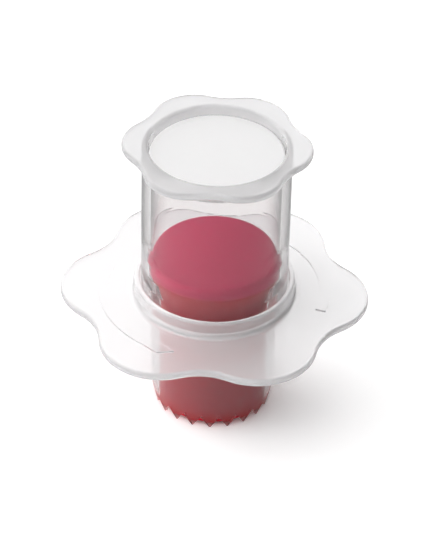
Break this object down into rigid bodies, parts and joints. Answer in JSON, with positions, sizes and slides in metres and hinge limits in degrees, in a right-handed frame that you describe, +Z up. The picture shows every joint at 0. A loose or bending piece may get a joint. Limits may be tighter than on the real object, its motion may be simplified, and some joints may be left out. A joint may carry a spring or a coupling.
{
  "type": "cupcake corer",
  "caption": "Hand-held cupcake corer: a toothed clear tube with a wavy six-lobed flange, and a clear plunger with a red ejector and a wavy rim that slides and turns in its collar.",
  "frame": {"origin": "on the common axis, at the height of the tooth tips that the corer stands on", "axes": "+Z up along the common axis, from the teeth to the rim; +X through the middle of one flange lobe"},
  "size_m": [0.0662, 0.0608, 0.0661],
  "materials": {
    "milky_plastic": "translucent gloss moulding",
    "clear_plastic": "clear polished moulding",
    "white_plastic": "satin white",
    "red_plastic": "satin gloss red"
  },
  "bodies": {
    "corer": {"cutter_tube": "clear_plastic", "petal_flange": "milky_plastic"},
    "ejector": {"ejector_cup": "red_plastic", "ejector_cap": "red_plastic"},
    "plunger": {"plunger_tube": "clear_plastic", "petal_rim": "milky_plastic", "thumb_disc": "white_plastic"}
  },
  "joints": [
    {"name": "plunger_slide", "type": "slide", "parent": "corer", "child": "ejector", "axis": [0, 0, 1], "range_m": [0, 0.024]},
    {"name": "plunger_turn", "type": "hinge", "parent": "ejector", "child": "plunger", "pos_m": [0, 0, 0.0355], "axis": [0, 0, 1], "continuous": true}
  ]
}
